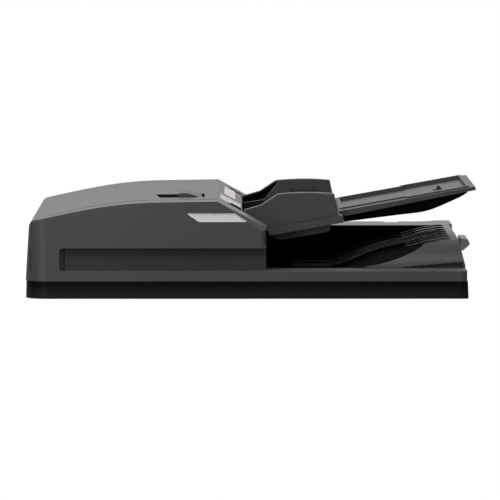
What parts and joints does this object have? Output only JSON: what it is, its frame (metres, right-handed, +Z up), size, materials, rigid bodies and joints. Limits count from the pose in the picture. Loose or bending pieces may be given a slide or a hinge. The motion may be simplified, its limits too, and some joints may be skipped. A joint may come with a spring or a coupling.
{
  "type": "sheet fed scanner unit",
  "caption": "Low, wide sheet fed scanner unit with a sloping feed tray and sliding width guides over a recessed exit tray, a hinged top cover and rear hinges.",
  "frame": {"origin": "centre of the underside, on the platen sheet's lower face", "axes": "+X to the exit side, right seen from the front; +Y to the back; +Z up"},
  "size_m": [0.6155, 0.551, 0.1467],
  "materials": {
    "shell_grey": "fine spark-eroded texture",
    "tray_grey": "fine spark-eroded texture",
    "base_black": "satin moulded black",
    "guide_black": "smooth black moulding",
    "lever_grey": "fine texture",
    "pull_grey": "fine texture",
    "flap_black": "satin",
    "window": "translucent light grey",
    "foam": "closed-cell foam",
    "platen_white": "white film",
    "steel": "zinc-plated",
    "bronze": "sintered",
    "rubber": "ground rubber",
    "gear_white": "acetal",
    "belt_black": "matt",
    "motor_metal": "plated can",
    "sensor_glass": "polished",
    "board_green": "solder mask",
    "cable_black": "matt sheath",
    "sticker": "blank label"
  },
  "bodies": {
    "base": {"front_cover": "shell_grey", "indicator_window": "window", "rear_cover": "shell_grey", "left_cover": "shell_grey", "exit_panel": "shell_grey", "base_frame": "base_black", "platen_foam": "foam", "platen_sheet": "platen_white", "hinge_brackets": "steel", "exit_tray": "shell_grey", "front_frame": "steel", "rear_frame": "steel", "shaft_bushes": "bronze", "drive_motor": "motor_metal", "drive_belts": "belt_black", "feed_guide": "guide_black", "turn_guide": "guide_black", "exit_guides": "guide_black", "image_sensors": "guide_black", "sensor_glasses": "sensor_glass", "circuit_boards": "board_green", "interface_cable": "cable_black", "cover_screws": "steel"},
    "lid": {"top_cover": "shell_grey", "lid_hinge_pins": "steel", "cover_guide": "guide_black", "panel_stickers": "sticker"},
    "latch": {"latch_shaft": "steel", "release_lever": "lever_grey"},
    "drum": {"drum_core": "guide_black", "drum_tyres": "rubber", "drum_gear": "gear_white"},
    "motor_rotor": {"motor_pinion": "bronze"},
    "idler": {"idler_gear": "gear_white"},
    "register": {"register_roller": "rubber"},
    "register_nip": {"register_pinch": "gear_white"},
    "feed": {"feed_shaft": "steel", "feed_tyre": "rubber"},
    "pickup_arm": {"pickup_holder": "guide_black", "pickup_belt": "belt_black"},
    "pickup": {"pickup_shaft": "steel", "pickup_tyre": "rubber"},
    "separation": {"separation_roller": "rubber"},
    "exit_drive": {"exit_roller": "rubber"},
    "exit_nip": {"exit_pinch": "gear_white"},
    "drum_nip": {"drum_pinch": "gear_white"},
    "upper_backing": {"upper_backing_roller": "platen_white"},
    "lower_backing": {"lower_backing_roller": "platen_white"},
    "tray": {"tray_deck": "tray_grey", "tray_underbox": "base_black", "tray_extension": "tray_grey", "extension_belly": "base_black"},
    "front_slider": {"front_guide": "tray_grey", "front_rack": "gear_white"},
    "rear_slider": {"rear_guide": "tray_grey", "rear_rack": "gear_white"},
    "pinion": {"rack_pinion": "gear_white"},
    "flap": {"length_flap": "flap_black"},
    "exit_stop": {"exit_extension": "pull_grey"},
    "mount_leaves": {"hinge_leaves": "steel"}
  },
  "joints": [
    {"name": "lid_hinge", "type": "hinge", "parent": "base", "child": "lid", "pos_m": [-0.286, 0.008, 0.0985], "axis": [0, -1, 0], "range_deg": [0, 75]},
    {"name": "latch_turn", "type": "hinge", "parent": "lid", "child": "latch", "pos_m": [-0.066, 0.01, 0.124], "axis": [0, 1, 0], "range_deg": [0, 22], "stiffness_Nm_per_rad": 0.15, "springref_deg": -11.46},
    {"name": "drum_spin", "type": "hinge", "parent": "base", "child": "drum", "pos_m": [-0.2, 0.01, 0.059], "axis": [0, 1, 0], "continuous": true},
    {"name": "motor_spin", "type": "hinge", "parent": "base", "child": "motor_rotor", "pos_m": [-0.23524, 0.01, 0.04617], "axis": [0, 1, 0], "continuous": true},
    {"name": "idler_spin", "type": "hinge", "parent": "base", "child": "idler", "pos_m": [-0.16241, 0.01, 0.04532], "axis": [0, 1, 0], "continuous": true},
    {"name": "register_spin", "type": "hinge", "parent": "base", "child": "register", "pos_m": [-0.13, 0.01, 0.0788], "axis": [0, 1, 0], "continuous": true},
    {"name": "register_pinch_spin", "type": "hinge", "parent": "lid", "child": "register_nip", "pos_m": [-0.13, 0.01, 0.0962], "axis": [0, 1, 0], "continuous": true},
    {"name": "feed_spin", "type": "hinge", "parent": "base", "child": "feed", "pos_m": [-0.068, 0.01, 0.1022], "axis": [0, 1, 0], "continuous": true},
    {"name": "pickup_arm_drop", "type": "hinge", "parent": "base", "child": "pickup_arm", "pos_m": [-0.068, 0.01, 0.1022], "axis": [0, 1, 0], "range_deg": [0, 8], "stiffness_Nm_per_rad": 0.8, "springref_deg": -2.86},
    {"name": "pickup_spin", "type": "hinge", "parent": "pickup_arm", "child": "pickup", "pos_m": [-0.028, 0.01, 0.104], "axis": [0, 1, 0], "continuous": true},
    {"name": "separation_spin", "type": "hinge", "parent": "base", "child": "separation", "pos_m": [-0.068, 0.01, 0.0778], "axis": [0, 1, 0], "continuous": true},
    {"name": "drum_pinch_spin", "type": "hinge", "parent": "base", "child": "drum_nip", "pos_m": [-0.2384, 0.01, 0.059], "axis": [0, 1, 0], "continuous": true},
    {"name": "exit_spin", "type": "hinge", "parent": "base", "child": "exit_drive", "pos_m": [0.006, 0.01, 0.035], "axis": [0, 1, 0], "continuous": true},
    {"name": "exit_pinch_spin", "type": "hinge", "parent": "base", "child": "exit_nip", "pos_m": [0.006, 0.01, 0.0492], "axis": [0, 1, 0], "continuous": true},
    {"name": "upper_backing_spin", "type": "hinge", "parent": "base", "child": "upper_backing", "pos_m": [-0.148, 0.01, 0.0364], "axis": [0, 1, 0], "continuous": true},
    {"name": "lower_backing_spin", "type": "hinge", "parent": "base", "child": "lower_backing", "pos_m": [-0.1, 0.01, 0.0214], "axis": [0, 1, 0], "continuous": true},
    {"name": "tray_lift", "type": "hinge", "parent": "base", "child": "tray", "pos_m": [0.015, 0.01, 0.084], "axis": [0, -1, 0], "range_deg": [0, 20]},
    {"name": "front_guide_slide", "type": "slide", "parent": "tray", "child": "front_slider", "axis": [0, 1, 0], "range_m": [0, 0.085]},
    {"name": "rear_guide_slide", "type": "slide", "parent": "tray", "child": "rear_slider", "axis": [0, 1, 0], "range_m": [-0.085, 0]},
    {"name": "rack_pinion_turn", "type": "hinge", "parent": "tray", "child": "pinion", "pos_m": [0.07443, 0.01, 0.09156], "axis": [-0.1766, 0, 0.9843], "range_deg": [-490, 0]},
    {"name": "length_flap_tilt", "type": "hinge", "parent": "tray", "child": "flap", "pos_m": [0.26425, 0.01, 0.13211], "axis": [0, 1, 0], "range_deg": [0, 40], "stiffness_Nm_per_rad": 0.002, "springref_deg": -5.73},
    {"name": "exit_stop_slide", "type": "slide", "parent": "base", "child": "exit_stop", "axis": [1, 0, 0], "range_m": [0, 0.055]},
    {"name": "rear_hinge", "type": "hinge", "parent": "base", "child": "mount_leaves", "pos_m": [0, 0.243, 0.012], "axis": [1, 0, 0], "range_deg": [0, 60]}
  ],
  "couplings": [
    {"joint": "motor_spin", "follows": "drum_spin", "ratio": -4},
    {"joint": "idler_spin", "follows": "drum_spin", "ratio": -3},
    {"joint": "register_spin", "follows": "drum_spin", "ratio": 3},
    {"joint": "register_pinch_spin", "follows": "drum_spin", "ratio": -4.2857},
    {"joint": "feed_spin", "follows": "drum_spin", "ratio": -2.3077},
    {"joint": "pickup_spin", "follows": "drum_spin", "ratio": -2.7149},
    {"joint": "separation_spin", "follows": "drum_spin", "ratio": 2.7273},
    {"joint": "drum_pinch_spin", "follows": "drum_spin", "ratio": -3.75},
    {"joint": "exit_spin", "follows": "drum_spin", "ratio": -3.75},
    {"joint": "exit_pinch_spin", "follows": "drum_spin", "ratio": 5},
    {"joint": "upper_backing_spin", "follows": "drum_spin", "ratio": 4.2857},
    {"joint": "lower_backing_spin", "follows": "drum_spin", "ratio": -4.2857},
    {"joint": "rear_guide_slide", "follows": "front_guide_slide", "ratio": -1},
    {"joint": "rack_pinion_turn", "follows": "front_guide_slide", "rad_per_m": -100}
  ]
}
